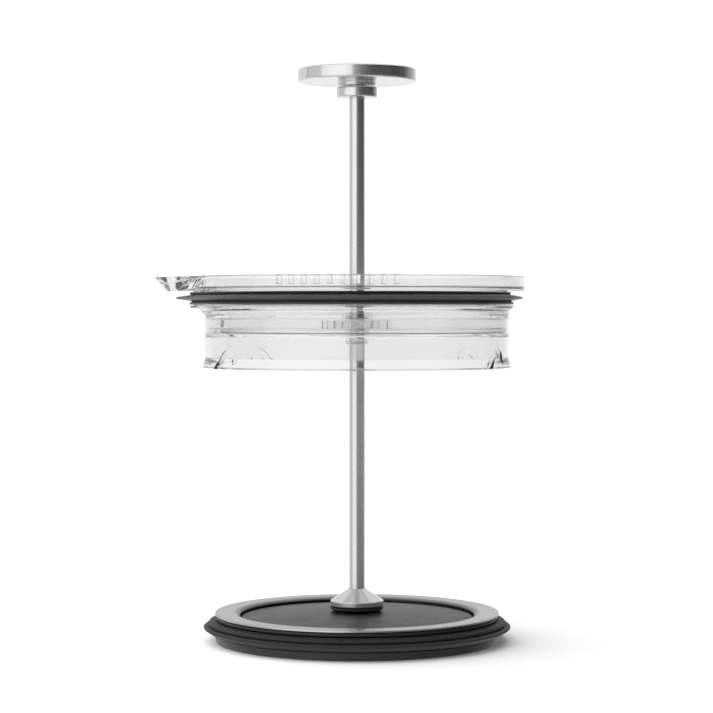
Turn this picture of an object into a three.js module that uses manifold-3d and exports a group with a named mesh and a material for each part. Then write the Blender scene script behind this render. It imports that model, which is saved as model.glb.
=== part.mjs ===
// Lid and plunger of a french press, standing on its filter.
// Millimetres, +Z up, origin at the middle of the flat foot; the lid's spout points along -X.
import * as THREE from "three";
import Module from "manifold-3d";
import { mergeVertices } from "three/addons/utils/BufferGeometryUtils.js";

const wasm = await Module();
wasm.setup();

// Driving dimensions. Heights are above the surface that the foot stands on.
const GAP = 0.3; // clearance between neighbouring pieces
const ROD = { radius: 2.5, bottom: 2.4, top: 181.4 };
const KNOB = { radius: 18.95, bottom: 179, top: 183.1, hubRadius: 6, hubBottom: 177.8 };
const COLLAR = { radius: 6.5, height: 3.5 };
const NUT = { radius: 8.5, bottom: 11.2, rimTop: 13.05, top: 16.8 };
const WASHER = { radius: 8.6, footRadius: 7.5, bottom: 9.8, top: 10.9 };
const DISC = { radius: 37, crown: 9.5, edge: 7.7, thickness: 1.5, flatRadius: 8.8 };
const RING = { inner: 37.6, rollStart: 39.8, outer: 45.5, bottom: 8.7, top: 9.3, rollDrop: 0.8 };
const CARRIER = { inner: 38.2, outer: 45.3, bottom: 7.4, top: 8.4 };
const SEAL = { inner: 43.3, tip: 49.2, tipHeight: 4.8, bottom: 3, top: 7.1 };
const FOOT = { footRadius: 45.1, radius: 46, bandTop: 2.7, wallInner: 38.6, wallOuter: 43, wallTop: 7.1 };
const HUB = { radius: 7, top: 7.7, pocketRadius: 4.3, pocketFloor: 1.8 };
const SPOKE = { count: 6, width: 3.2, bottom: 0.5, top: 2.9 };
const MESH = { bottom: 3.2, thickness: 0.3 };
const SCREW = { count: 3, circle: 40.8, shank: 0.9, head: 1.6, headBottom: 0.4, headTop: 1.5, top: 7.8 };
const BRIM = { radius: 53.6, spout: 66.4, spoutFoot: 61.8, bottom: 112.15, floor: 113, top: 116.8 };
const RIM = { inner: 51.2, spoutInner: 57.8 };
const DECK = { bottom: 109.2, top: 111 };
const SLEEVE = { radius: 5.9, top: 112.6 };
const SPOUT_TROUGH = { radius: 3, depth: 1.2 };
const NECK = { inner: 46.6, outer: 47.9, bulge: 5, bottom: 107.55 };
const SKIRT = { inner: 47, radius: 48.6, lipRadius: 49.3, lipTop: 89.3, bottom: 87.7 };
const INSERT = { radius: 47.7, bottom: 98.8, floorTop: 100, ribTop: 102.7, rimTop: 103.3, rimThickness: 1.5 };
const BOSS = { radius: 3.7, headRadius: 5.2, bottom: 95.2, headBottom: 104.2, top: 107.7 };
const GASKET = { inner: 48.2, bottom: 107.85, top: 111.85, fin: 53.1, finSpout: 58.8, finHeight: 110 };
const BUSH = { radius: 4.3, flangeRadius: 5.8, bottom: 108, top: 113.2 };
const FLUTE = { count: 10, pitch: 4.3, radius: 1.25, standOff: 0.7, bottom: 113.8 };
const TRACK = { width: 2.4, depth: 0.7, angles: [220, 140.5, 43.5, 339] };

const BEAK_TIP_RADIUS = 9; // plan radius of the spout's and the neck bulge's nose
const BEAK_CROWDING = 0.4; // how strongly the facets of beaked pieces crowd towards the nose
const SEGMENTS = { beaked: 52, large: 40, medium: 24, small: 16, hole: 10 };

const steel = { color: 0xc9c9c7, roughness: 0.3, metalness: 1 };
const clear = { color: 0xf2f4f4, roughness: 0.05, metalness: 0 };
const silicone = { color: 0x2b2b2c, roughness: 0.55, metalness: 0 };
const blackPlastic = { color: 0x3a3a3b, roughness: 0.5, metalness: 0 };
const nylon = { color: 0xe4e4e0, roughness: 0.4, metalness: 0 };

const press = new THREE.Group();

function addPiece(name, geometry, finish) {
  const mesh = new THREE.Mesh(geometry, new THREE.MeshStandardMaterial(finish));
  mesh.name = name;
  press.add(mesh);
}

// ---- Solids ----

function solidOf(geometry) {
  const bare = geometry.clone();
  bare.deleteAttribute("normal");
  bare.deleteAttribute("uv");
  const merged = mergeVertices(bare, 1e-4);
  const vertProperties = new Float32Array(merged.attributes.position.array);
  const triVerts = new Uint32Array(merged.index.array);
  return new wasm.Manifold(new wasm.Mesh({ numProp: 3, vertProperties, triVerts }));
}

function geometryOf(solid) {
  const { vertProperties, triVerts } = solid.getMesh();
  const geometry = new THREE.BufferGeometry();
  geometry.setAttribute("position", new THREE.BufferAttribute(vertProperties, 3));
  geometry.setIndex(new THREE.BufferAttribute(triVerts, 1));
  geometry.computeVertexNormals();
  return geometry;
}

function cut(geometry, tools) {
  return geometryOf(tools.reduce((rest, tool) => rest.subtract(solidOf(tool)), solidOf(geometry)));
}

function join(geometry, others) {
  return geometryOf(others.reduce((sum, other) => sum.add(solidOf(other)), solidOf(geometry)));
}

// ---- Turned shapes ----

// A corner given as [r, z, roundness] becomes an arc, or a chamfer where small, starting that far before it.
function roundCorners(corners) {
  const count = corners.length;
  return corners.flatMap(([r, z, roundness], i) => {
    const corner = new THREE.Vector2(r, z);
    if (!roundness) return [corner];
    const [before, after] = [corners[(i + count - 1) % count], corners[(i + 1) % count]].map(
      ([x, y]) => corner.clone().add(new THREE.Vector2(x - r, y - z).setLength(roundness)),
    );
    return new THREE.QuadraticBezierCurve(before, corner, after).getPoints(roundness < 0.5 ? 1 : 2);
  });
}

// Turns a closed outline, given anticlockwise in the (r, z) half plane, about the Z axis.
function turned(corners, segments) {
  const outline = roundCorners(corners);
  outline.push(outline[0].clone());
  return new THREE.LatheGeometry(outline, segments).rotateX(Math.PI / 2);
}

function cylinder(radius, bottom, top, segments = SEGMENTS.hole) {
  const height = top - bottom;
  return new THREE.CylinderGeometry(radius, radius, height, segments)
    .rotateX(Math.PI / 2)
    .translate(0, 0, bottom + height / 2);
}

function block(length, width, bottom, top) {
  return new THREE.BoxGeometry(length, width, top - bottom).translate(0, 0, (bottom + top) / 2);
}

// Distance from the axis to a drop-shaped plan outline: a circle whose two tangents run to a rounded nose.
function beakedRadius(radius, reach, angle) {
  if (reach <= radius) return radius;
  const noseCentre = reach - BEAK_TIP_RADIUS;
  const tangentAngle = Math.acos((radius - BEAK_TIP_RADIUS) / noseCentre);
  const off = Math.abs(angle);
  if (off >= tangentAngle) return radius;
  const noseEnd = Math.atan2(
    BEAK_TIP_RADIUS * Math.sin(tangentAngle),
    noseCentre + BEAK_TIP_RADIUS * Math.cos(tangentAngle),
  );
  if (off >= noseEnd) return radius / Math.cos(tangentAngle - off);
  const across = noseCentre * Math.sin(off);
  return noseCentre * Math.cos(off) + Math.sqrt(BEAK_TIP_RADIUS ** 2 - across ** 2);
}

// A turned outline of [r, z, reach] corners, pulled out to each corner's reach along -X.
function beaked(corners) {
  const outline = [...corners, corners[0]];
  const points = outline.map(([r, z]) => new THREE.Vector2(r, z));
  const geometry = new THREE.LatheGeometry(points, SEGMENTS.beaked);
  const position = geometry.getAttribute("position");
  for (let column = 0; column <= SEGMENTS.beaked; column++) {
    const even = ((column % SEGMENTS.beaked) / SEGMENTS.beaked) * 2 * Math.PI - Math.PI;
    const angle = even - BEAK_CROWDING * Math.sin(even);
    outline.forEach(([r, z, reach = r], row) => {
      const distance = beakedRadius(r, reach, angle);
      const index = column * outline.length + row;
      position.setXYZ(index, -distance * Math.cos(angle), z, distance * Math.sin(angle));
    });
  }
  return geometry.rotateX(Math.PI / 2);
}

function aroundAxis(count, make) {
  return Array.from({ length: count }, (_, i) => make().rotateZ((i / count) * 2 * Math.PI));
}

const degrees = THREE.MathUtils.degToRad;

// ---- Plunger: knob, collar and rod ----

const rodBore = ROD.radius + GAP;

function makeKnob() {
  return turned(
    [
      [0, KNOB.top],
      [0, ROD.top + GAP],
      [rodBore, ROD.top + GAP],
      [rodBore, KNOB.hubBottom],
      [KNOB.hubRadius, KNOB.hubBottom, 0.3],
      [KNOB.hubRadius, KNOB.bottom],
      [KNOB.radius, KNOB.bottom, 0.6],
      [KNOB.radius, KNOB.top, 0.6],
    ],
    SEGMENTS.large,
  );
}

function makeCollar() {
  const top = KNOB.hubBottom - GAP;
  const bottom = top - COLLAR.height;
  return turned(
    [
      [rodBore, bottom],
      [COLLAR.radius, bottom, 0.5],
      [COLLAR.radius, top, 0.4],
      [rodBore, top],
    ],
    SEGMENTS.medium,
  );
}

function makeRod() {
  return turned(
    [
      [0, ROD.bottom],
      [ROD.radius, ROD.bottom, 0.5],
      [ROD.radius, ROD.top, 0.5],
      [0, ROD.top],
    ],
    SEGMENTS.small,
  );
}

addPiece("knob", makeKnob(), steel);
addPiece("knob_collar", makeCollar(), steel);
addPiece("plunger_rod", makeRod(), steel);

// ---- Filter: foot, mesh, seal, rings, disc, washer and nut ----

function spreadScrews(make) {
  const halfSpoke = Math.PI / SPOKE.count;
  return aroundAxis(SCREW.count, () => make().translate(SCREW.circle, 0, 0).rotateZ(halfSpoke));
}

function makeFoot() {
  const band = turned(
    [
      [FOOT.wallInner, 0],
      [FOOT.footRadius, 0, 0.3],
      [FOOT.radius, FOOT.bandTop, 0.3],
      [FOOT.wallOuter, FOOT.bandTop],
      [FOOT.wallOuter, FOOT.wallTop],
      [FOOT.wallInner, FOOT.wallTop],
    ],
    SEGMENTS.large,
  );
  const spokeLength = FOOT.wallInner + 1;
  const spokes = aroundAxis(SPOKE.count, () =>
    block(spokeLength, SPOKE.width, SPOKE.bottom, SPOKE.top).translate(spokeLength / 2, 0, 0),
  );
  const hub = cylinder(HUB.radius, 0, HUB.top, SEGMENTS.medium);
  const pocket = cylinder(HUB.pocketRadius, HUB.pocketFloor, HUB.top + 1, SEGMENTS.small);
  const counterbores = spreadScrews(() => cylinder(SCREW.head + GAP, -1, SCREW.headTop + GAP));
  const shankHoles = spreadScrews(() => cylinder(SCREW.shank + GAP, 1, FOOT.wallTop + 1));
  return cut(join(band, [...spokes, hub]), [pocket, ...counterbores, ...shankHoles]);
}

function makeHubInsert() {
  const radius = HUB.pocketRadius - GAP;
  const bottom = HUB.pocketFloor + GAP;
  const top = HUB.top - GAP;
  return turned(
    [
      [rodBore, bottom],
      [radius, bottom],
      [radius, top],
      [rodBore, top],
    ],
    SEGMENTS.small,
  );
}

function makeMeshScreen() {
  const top = MESH.bottom + MESH.thickness;
  const screen = cylinder(FOOT.wallInner - GAP, MESH.bottom, top, SEGMENTS.large);
  return cut(screen, [cylinder(HUB.radius + GAP, 0, FOOT.wallTop, SEGMENTS.medium)]);
}

function makeMeshRetainer() {
  const bottom = MESH.bottom + MESH.thickness + GAP;
  const outer = FOOT.wallInner - GAP;
  return turned(
    [
      [outer - 2.5, bottom],
      [outer, bottom],
      [outer, bottom + 1.4],
      [outer - 2.5, bottom + 0.9],
    ],
    SEGMENTS.large,
  );
}

// The wiper: a rounded shoulder, a waist and a pointed lip, one moulding round the foot's wall.
function makeSeal() {
  const waist = SEAL.tipHeight + 0.65;
  return turned(
    [
      [SEAL.inner, SEAL.bottom],
      [SEAL.tip - 2.2, SEAL.bottom],
      [SEAL.tip, SEAL.tipHeight - 0.3, 0.4],
      [SEAL.tip, SEAL.tipHeight + 0.3, 0.4],
      [SEAL.tip - 1, waist - 0.1],
      [SEAL.tip - 1.45, waist],
      [SEAL.tip - 1.75, waist + 0.45],
      [SEAL.tip - 2.1, SEAL.top - 0.6, 0.4],
      [SEAL.tip - 3.8, SEAL.top],
      [SEAL.inner, SEAL.top],
    ],
    SEGMENTS.large,
  );
}

// Thin ring of sheet whose inner edge is rolled down towards the disc.
function makeSteelRing() {
  const thickness = RING.top - RING.bottom;
  const rollMiddle = (RING.inner + RING.rollStart) / 2;
  const top = [
    [RING.rollStart, RING.top],
    [rollMiddle, RING.top - RING.rollDrop * 0.3],
    [RING.inner, RING.top - RING.rollDrop],
  ];
  const bottom = top.map(([r, z]) => [r, z - thickness]).reverse();
  return turned(
    [...bottom, [RING.outer, RING.bottom], [RING.outer, RING.top, 0.2], ...top],
    SEGMENTS.large,
  );
}

// Moulded ring under the steel one, with blind holes for the screws.
function makeRingCarrier() {
  const ring = turned(
    [
      [CARRIER.inner, CARRIER.bottom],
      [CARRIER.outer, CARRIER.bottom],
      [CARRIER.outer, CARRIER.top],
      [CARRIER.inner + 2, CARRIER.top],
      [CARRIER.inner, CARRIER.top - 0.8],
    ],
    SEGMENTS.large,
  );
  return cut(
    ring,
    spreadScrews(() => cylinder(SCREW.shank + GAP, 0, SCREW.top + GAP)),
  );
}

function makePressDisc() {
  const steps = 4;
  const span = DISC.radius - DISC.flatRadius;
  const fall = DISC.crown - DISC.edge;
  const crown = Array.from({ length: steps }, (_, i) => {
    const part = (i + 1) / steps;
    return [DISC.flatRadius + span * part, DISC.crown - fall * part ** 1.6];
  });
  const top = [[rodBore, DISC.crown], [DISC.flatRadius, DISC.crown], ...crown];
  const bottom = top.map(([r, z]) => [r, z - DISC.thickness]);
  return turned([...bottom, ...top.reverse()], SEGMENTS.large);
}

function makeWasher() {
  const middle = (WASHER.bottom + WASHER.top) / 2;
  return turned(
    [
      [rodBore, WASHER.bottom],
      [WASHER.footRadius, WASHER.bottom],
      [WASHER.radius, middle],
      [WASHER.radius, WASHER.top],
      [rodBore, WASHER.top],
    ],
    SEGMENTS.medium,
  );
}

// A low cone that flares from the rod to an upright rim.
function makeNut() {
  const coneHeight = NUT.top - NUT.rimTop;
  return turned(
    [
      [rodBore, NUT.bottom],
      [NUT.radius, NUT.bottom, 0.2],
      [NUT.radius, NUT.rimTop, 0.2],
      [NUT.radius * 0.64, NUT.rimTop + coneHeight * 0.5],
      [rodBore + 0.1, NUT.top],
      [rodBore, NUT.top],
    ],
    SEGMENTS.medium,
  );
}

function makeScrew() {
  return turned(
    [
      [0, SCREW.headBottom],
      [SCREW.head, SCREW.headBottom],
      [SCREW.head, SCREW.headTop],
      [SCREW.shank, SCREW.headTop],
      [SCREW.shank, SCREW.top],
      [0, SCREW.top],
    ],
    SEGMENTS.hole,
  );
}

addPiece("base_frame", makeFoot(), blackPlastic);
addPiece("hub_insert", makeHubInsert(), steel);
addPiece("mesh_screen", makeMeshScreen(), steel);
addPiece("mesh_retainer", makeMeshRetainer(), blackPlastic);
addPiece("wiper_seal", makeSeal(), silicone);
addPiece("steel_ring", makeSteelRing(), steel);
addPiece("ring_carrier", makeRingCarrier(), blackPlastic);
addPiece("press_disc", makePressDisc(), blackPlastic);
addPiece("nut_washer", makeWasher(), silicone);
addPiece("flare_nut", makeNut(), steel);
spreadScrews(makeScrew).forEach((screw, i) => addPiece(`ring_screw_${i + 1}`, screw, steel));

// ---- Lid ----

// The outline of a band of constant width along a curve, square at its start and round at its end.
function strokeShape(curve, width, steps) {
  const offset = (t, side) => {
    const tangent = curve.getTangent(t);
    return curve.getPoint(t).add(new THREE.Vector2(tangent.y, -tangent.x).setLength((side * width) / 2));
  };
  const along = Array.from({ length: steps + 1 }, (_, i) => i / steps);
  const right = along.map((t) => offset(t, 1));
  const left = along.map((t) => offset(t, -1)).reverse();
  const shape = new THREE.Shape(right);
  const end = curve.getPoint(1);
  const start = Math.atan2(right.at(-1).y - end.y, right.at(-1).x - end.x);
  shape.absarc(end.x, end.y, width / 2, start, start + Math.PI, false);
  left.slice(1).forEach(({ x, y }) => shape.lineTo(x, y));
  return shape;
}

// A hook-shaped bayonet track in the skirt's outside: it slants up from the edge and arches over to a pocket.
function makeTrack(angle) {
  const hook = new THREE.SplineCurve(
    [
      [-6.4, -1],
      [-3.4, 2.2],
      [-0.6, 4.4],
      [2.2, 4.9],
      [4.3, 3.9],
      [4.9, 2.7],
    ].map(([x, y]) => new THREE.Vector2(x, y)),
  );
  const track = new THREE.ExtrudeGeometry(strokeShape(hook, TRACK.width, 12), {
    depth: 4,
    bevelEnabled: false,
    curveSegments: 4,
  });
  const radial = new THREE.Vector3(Math.cos(angle), Math.sin(angle), 0);
  const tangent = new THREE.Vector3(-Math.sin(angle), Math.cos(angle), 0);
  const up = new THREE.Vector3(0, 0, 1);
  const place = new THREE.Matrix4().makeBasis(tangent, up, radial);
  const foot = radial.multiplyScalar(SKIRT.radius - TRACK.depth);
  return track.applyMatrix4(place.setPosition(foot.x, foot.y, SKIRT.bottom));
}

// Grip flutes across the front of the rim.
function makeFlutes() {
  return Array.from({ length: FLUTE.count }, (_, i) => {
    const angle = degrees((i - (FLUTE.count - 1) / 2) * FLUTE.pitch - 90);
    return cylinder(FLUTE.radius, FLUTE.bottom, BRIM.top + 1, 6)
      .translate(BRIM.radius + FLUTE.standOff, 0, 0)
      .rotateZ(angle);
  });
}

// One clear moulding: a bowl with a rim and its beak, a sleeve round the rod, the neck with the gasket's
// groove, and the skirt, whose inside is stepped for the strainer to snap into.
function makeLidBody() {
  const bulged = (radius, z) => [radius, z, radius + NECK.bulge];
  const bore = BUSH.radius + GAP;
  const shoulder = INSERT.rimTop + GAP;
  const ledge = NECK.outer + 2.2;
  const shell = beaked([
    [bore, DECK.bottom],
    bulged(NECK.inner, DECK.bottom),
    bulged(NECK.inner, NECK.bottom),
    [NECK.inner, NECK.bottom - 0.4, NECK.inner + 4],
    [INSERT.radius + GAP, shoulder],
    [INSERT.radius + GAP, INSERT.bottom - GAP],
    [SKIRT.inner, INSERT.bottom - 1],
    [SKIRT.inner, SKIRT.bottom + 0.5],
    [SKIRT.inner + 0.5, SKIRT.bottom],
    [SKIRT.lipRadius - 0.4, SKIRT.bottom],
    [SKIRT.lipRadius, SKIRT.bottom + 0.4],
    [SKIRT.lipRadius, SKIRT.lipTop - 0.2],
    [SKIRT.radius, SKIRT.lipTop + 0.3],
    [SKIRT.radius, shoulder],
    [SKIRT.radius, NECK.bottom - 1.7, SKIRT.radius + 2.2],
    [ledge - 0.5, NECK.bottom - 1.1, ledge + 1.2],
    [ledge, NECK.bottom - 0.8, ledge + 4],
    [ledge, NECK.bottom, ledge + 4],
    bulged(NECK.outer, NECK.bottom),
    bulged(NECK.outer, BRIM.bottom),
    [BRIM.radius - 0.4, BRIM.bottom, BRIM.spoutFoot - 0.4],
    [BRIM.radius, BRIM.bottom + 0.4, BRIM.spoutFoot],
    [BRIM.radius, BRIM.top - 0.4, BRIM.spout - 0.3],
    [BRIM.radius - 0.4, BRIM.top, BRIM.spout],
    [RIM.inner, BRIM.top, RIM.spoutInner],
    [RIM.inner, BRIM.floor, RIM.spoutInner],
    bulged(NECK.inner, BRIM.floor),
    bulged(NECK.inner, DECK.top),
    [SLEEVE.radius, DECK.top],
    [SLEEVE.radius, SLEEVE.top],
    [bore, SLEEVE.top],
  ]);
  const pourHole = block(6, 16, DECK.bottom - 1, DECK.top + 1).translate(-43, 0, 0);
  const trough = cylinder(SPOUT_TROUGH.radius, -10, 10, SEGMENTS.medium)
    .rotateY(Math.PI / 2)
    .translate(-60, 0, BRIM.top + SPOUT_TROUGH.radius - SPOUT_TROUGH.depth);
  const tracks = TRACK.angles.map((angle) => makeTrack(degrees(angle)));
  return cut(shell, [pourHole, trough, ...makeFlutes(), ...tracks]);
}

// Strainer: a shallow dish with a tall boss round the rod, ribs, and pouring slots on the spout's side.
function makeInsert() {
  const rimInner = INSERT.radius - INSERT.rimThickness;
  const pocketRadius = 4.2;
  const dish = turned(
    [
      [rodBore, BOSS.bottom],
      [BOSS.radius - 0.6, BOSS.bottom],
      [BOSS.radius, BOSS.bottom + 0.8],
      [BOSS.radius, INSERT.bottom],
      [INSERT.radius, INSERT.bottom, 0.4],
      [INSERT.radius, INSERT.rimTop],
      [rimInner, INSERT.rimTop],
      [rimInner, INSERT.floorTop],
      [BOSS.radius, INSERT.floorTop],
      [BOSS.radius, BOSS.headBottom - 0.8],
      [BOSS.headRadius, BOSS.headBottom],
      [BOSS.headRadius, BOSS.headBottom + 1.6],
      [BOSS.radius, BOSS.top],
      [rodBore, BOSS.top],
      [rodBore, BOSS.headBottom + 2.2],
      [pocketRadius, BOSS.headBottom + 2.2],
      [pocketRadius, BOSS.headBottom + 0.3],
      [rodBore, BOSS.headBottom + 0.3],
    ],
    SEGMENTS.large,
  );
  const ribs = aroundAxis(12, () =>
    block(8.6, 0.9, INSERT.floorTop - 0.2, INSERT.ribTop).translate(BOSS.radius + 4, 0, 0),
  );
  const slots = Array.from({ length: 9 }, (_, i) =>
    block(9, 1.7, INSERT.bottom - 1, INSERT.floorTop + 1)
      .translate(38.5, 0, 0)
      .rotateZ(degrees(180 + (i - 4) * 7)),
  );
  const mouth = block(6, 16, INSERT.floorTop + 0.6, INSERT.rimTop + 1).translate(-INSERT.radius, 0, 0);
  return cut(join(dish, ribs), [...slots, mouth]);
}

// Gasket in the neck's groove: an upper band, one thin fin that meets the carafe, and a lower band.
function makeGasket() {
  const bulged = (radius, z) => [radius, z, radius + NECK.bulge];
  const waist = GASKET.inner + 1;
  return beaked([
    bulged(GASKET.inner, GASKET.bottom),
    [waist + 0.9, GASKET.bottom, waist + 5.1],
    [waist + 0.8, GASKET.bottom + 0.5, waist + 5],
    [GASKET.fin - 0.2, GASKET.finHeight - 0.35, GASKET.finSpout - 0.2],
    [GASKET.fin, GASKET.finHeight, GASKET.finSpout],
    [GASKET.fin - 0.3, GASKET.finHeight + 0.35, GASKET.finSpout - 0.3],
    bulged(waist + 0.4, GASKET.finHeight + 1),
    bulged(waist - 0.2, GASKET.top),
    bulged(GASKET.inner, GASKET.top),
  ]);
}

function makeBush() {
  return turned(
    [
      [rodBore, BUSH.bottom],
      [BUSH.flangeRadius, BUSH.bottom],
      [BUSH.flangeRadius, DECK.bottom - GAP],
      [BUSH.radius, DECK.bottom - GAP],
      [BUSH.radius, BUSH.top],
      [rodBore, BUSH.top],
    ],
    SEGMENTS.small,
  );
}

function makeRodWiper() {
  const bottom = BOSS.headBottom + 0.6;
  const roundness = 0.4;
  return turned(
    [
      [ROD.radius + 0.15, bottom, roundness],
      [3.9, bottom, roundness],
      [3.9, bottom + 1.3, roundness],
      [ROD.radius + 0.15, bottom + 1.3, roundness],
    ],
    SEGMENTS.small,
  );
}

addPiece("lid_body", makeLidBody(), clear);
addPiece("lid_insert", makeInsert(), clear);
addPiece("lid_gasket", makeGasket(), silicone);
addPiece("guide_bush", makeBush(), nylon);
addPiece("rod_wiper", makeRodWiper(), silicone);

export default press;
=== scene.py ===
import math

import bmesh
import bpy
import numpy as np
from mathutils import Matrix, Vector


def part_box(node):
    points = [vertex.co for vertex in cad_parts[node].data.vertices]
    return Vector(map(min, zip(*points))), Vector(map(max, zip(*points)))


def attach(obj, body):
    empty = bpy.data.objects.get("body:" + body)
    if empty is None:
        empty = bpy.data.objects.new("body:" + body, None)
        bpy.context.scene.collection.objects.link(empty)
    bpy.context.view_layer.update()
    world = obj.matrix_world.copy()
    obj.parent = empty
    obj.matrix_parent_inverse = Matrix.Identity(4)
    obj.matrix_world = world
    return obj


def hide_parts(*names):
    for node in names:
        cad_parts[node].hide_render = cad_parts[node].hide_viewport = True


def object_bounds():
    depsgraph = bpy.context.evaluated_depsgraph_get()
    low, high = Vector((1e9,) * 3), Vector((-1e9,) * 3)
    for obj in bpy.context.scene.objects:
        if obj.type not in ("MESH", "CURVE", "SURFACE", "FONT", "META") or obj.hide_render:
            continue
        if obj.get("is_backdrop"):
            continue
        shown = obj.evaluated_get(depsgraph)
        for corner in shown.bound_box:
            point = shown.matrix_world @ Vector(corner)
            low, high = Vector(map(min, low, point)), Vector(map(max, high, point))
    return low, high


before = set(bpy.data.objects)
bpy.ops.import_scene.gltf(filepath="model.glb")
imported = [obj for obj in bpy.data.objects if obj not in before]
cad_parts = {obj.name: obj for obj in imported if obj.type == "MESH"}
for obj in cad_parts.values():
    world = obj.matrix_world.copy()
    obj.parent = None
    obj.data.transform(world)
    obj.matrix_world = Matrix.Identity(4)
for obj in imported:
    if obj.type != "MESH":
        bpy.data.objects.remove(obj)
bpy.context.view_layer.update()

MM = 0.001
GAP = 0.3  # clearance between neighbouring pieces, in millimetres
SLIP = 0.06  # clearance of the rod in the bores that hold it
SIDES = 192  # of a turned piece
WIDE_SIDES = 256  # of a wide turned piece with fine edges
THIN_SIDES = 96  # of a thin turned piece
CORNER_STEPS = 5  # straight pieces of each rounded corner
PLASTIC_STEPS = 4  # the same in the pieces that have many corners
CURVE_STEPS = 12  # straight pieces of each long curve
STRETCH = 0.04  # straight stretch beside each rounded corner, in millimetres
SHARP_ANGLE = math.radians(32)


# ---- Sizes from the CAD, in millimetres ----


def size_of(node):
    """Radius about the rod's axis, read on the +Y side, and the bottom and top of a CAD node."""
    low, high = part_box(node)
    return high.y / MM, low.z / MM, high.z / MM


def reach_of(node):
    """How far a node goes towards the spout, along -X."""
    return -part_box(node)[0].x / MM


# ---- Meshes ----


def rounded(corners, steps=CORNER_STEPS):
    """Points along the closed outline of corners, each given as (coordinates..., roundness).

    A roundness of 0 leaves a corner sharp. Each arc gets a short straight stretch at both ends, so
    that the flats beside it shade as flats.
    """
    points = []
    for i, corner in enumerate(corners):
        here, roundness = np.array(corner[:-1], float), corner[-1]
        if roundness <= 0:
            points.append(here)
            continue
        ends, stretches = [], []
        for other in (corners[i - 1], corners[(i + 1) % len(corners)]):
            way = np.array(other[:-1], float) - here
            length = np.linalg.norm(way[:2])
            ends.append(here + way * (roundness / length))
            free = length - roundness - other[-1]
            stretches.append([ends[-1] + way * (STRETCH / length)] if free > 3 * STRETCH else [])
        points += stretches[0]
        for k in range(steps + 1):
            t = k / steps
            points.append((1 - t) ** 2 * ends[0] + 2 * t * (1 - t) * here + t * t * ends[1])
        points += stretches[1]
    return points


def object_from(name, verts, faces):
    mesh = bpy.data.meshes.new(name)
    mesh.from_pydata([tuple(v) for v in verts], [], faces)
    mesh.validate()
    piece = bpy.data.objects.new(name, mesh)
    bpy.context.scene.collection.objects.link(piece)
    return piece


def grid_faces(rings):
    """Quads, or triangles at a pole, between each ring of vertex numbers and the next one round."""
    faces = []
    for row, below in enumerate(rings):
        above = rings[(row + 1) % len(rings)]
        for k in range(len(below)):
            n = (k + 1) % len(below)
            corners = [below[k], below[n], above[n], above[k]]
            face = [c for i, c in enumerate(corners) if c not in corners[:i]]
            if len(face) > 2:
                faces.append(face)
    return faces


def turned(name, corners, sides=SIDES, steps=CORNER_STEPS):
    """A closed outline of (r, z, roundness) corners, anticlockwise, turned about the axis."""
    verts, rings = [], []
    for r, z in rounded(corners, steps):
        if r < 1e-6:
            rings.append([len(verts)] * sides)
            verts.append((0, 0, z * MM))
            continue
        rings.append(list(range(len(verts), len(verts) + sides)))
        for k in range(sides):
            a = 2 * math.pi * k / sides
            verts.append((r * math.cos(a) * MM, r * math.sin(a) * MM, z * MM))
    return object_from(name, verts, grid_faces(rings))


BEAK_TIP_RADIUS = 9  # plan radius of the nose, in millimetres
BEAK_SIDES = 288
BEAK_CROWDING = 0.4  # how strongly the sides crowd towards the nose


def beaked_radius(radius, reach, angle):
    """Distance from the axis to a drop-shaped plan outline whose nose is at angle 0."""
    if reach <= radius + 1e-9:
        return radius
    nose = reach - BEAK_TIP_RADIUS
    tangent = math.acos(max(-1, min(1, (radius - BEAK_TIP_RADIUS) / nose)))
    off = abs(angle)
    if off >= tangent:
        return radius
    nose_end = math.atan2(
        BEAK_TIP_RADIUS * math.sin(tangent), nose + BEAK_TIP_RADIUS * math.cos(tangent)
    )
    if off >= nose_end:
        return radius / math.cos(tangent - off)
    return nose * math.cos(off) + math.sqrt(BEAK_TIP_RADIUS**2 - (nose * math.sin(off)) ** 2)


def beaked(name, corners, steps=CORNER_STEPS):
    """A closed outline of (r, z, reach, roundness) corners, turned and pulled out to the reach."""
    verts, rings = [], []
    for r, z, reach in rounded(corners, steps):
        rings.append(list(range(len(verts), len(verts) + BEAK_SIDES)))
        for k in range(BEAK_SIDES):
            even = 2 * math.pi * k / BEAK_SIDES - math.pi
            angle = even - BEAK_CROWDING * math.sin(even)
            d = beaked_radius(r, reach, angle)
            verts.append((-d * math.cos(angle) * MM, -d * math.sin(angle) * MM, z * MM))
    return object_from(name, verts, grid_faces(rings))


def block(name, low, high, bevel=0.0, turn=0.0):
    """A box between two corners, with bevelled edges, turned about the axis."""
    piece = object_from(name, [], [])
    bm = bmesh.new()
    bmesh.ops.create_cube(bm, size=1)
    low, high = Vector(low) * MM, Vector(high) * MM
    for v in bm.verts:
        v.co = Vector(low[i] + (v.co[i] + 0.5) * (high[i] - low[i]) for i in range(3))
    if bevel:
        bmesh.ops.bevel(bm, geom=bm.edges[:], offset=bevel * MM, segments=2, affect="EDGES")
    bmesh.ops.rotate(bm, verts=bm.verts, cent=(0, 0, 0), matrix=Matrix.Rotation(turn, 3, "Z"))
    bm.to_mesh(piece.data)
    bm.free()
    return piece


def shift(piece, radius, angle):
    """Moves a piece out from the axis, by a radius in millimetres."""
    x, y = radius * MM * math.cos(angle), radius * MM * math.sin(angle)
    piece.data.transform(Matrix.Translation((x, y, 0)))


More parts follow.
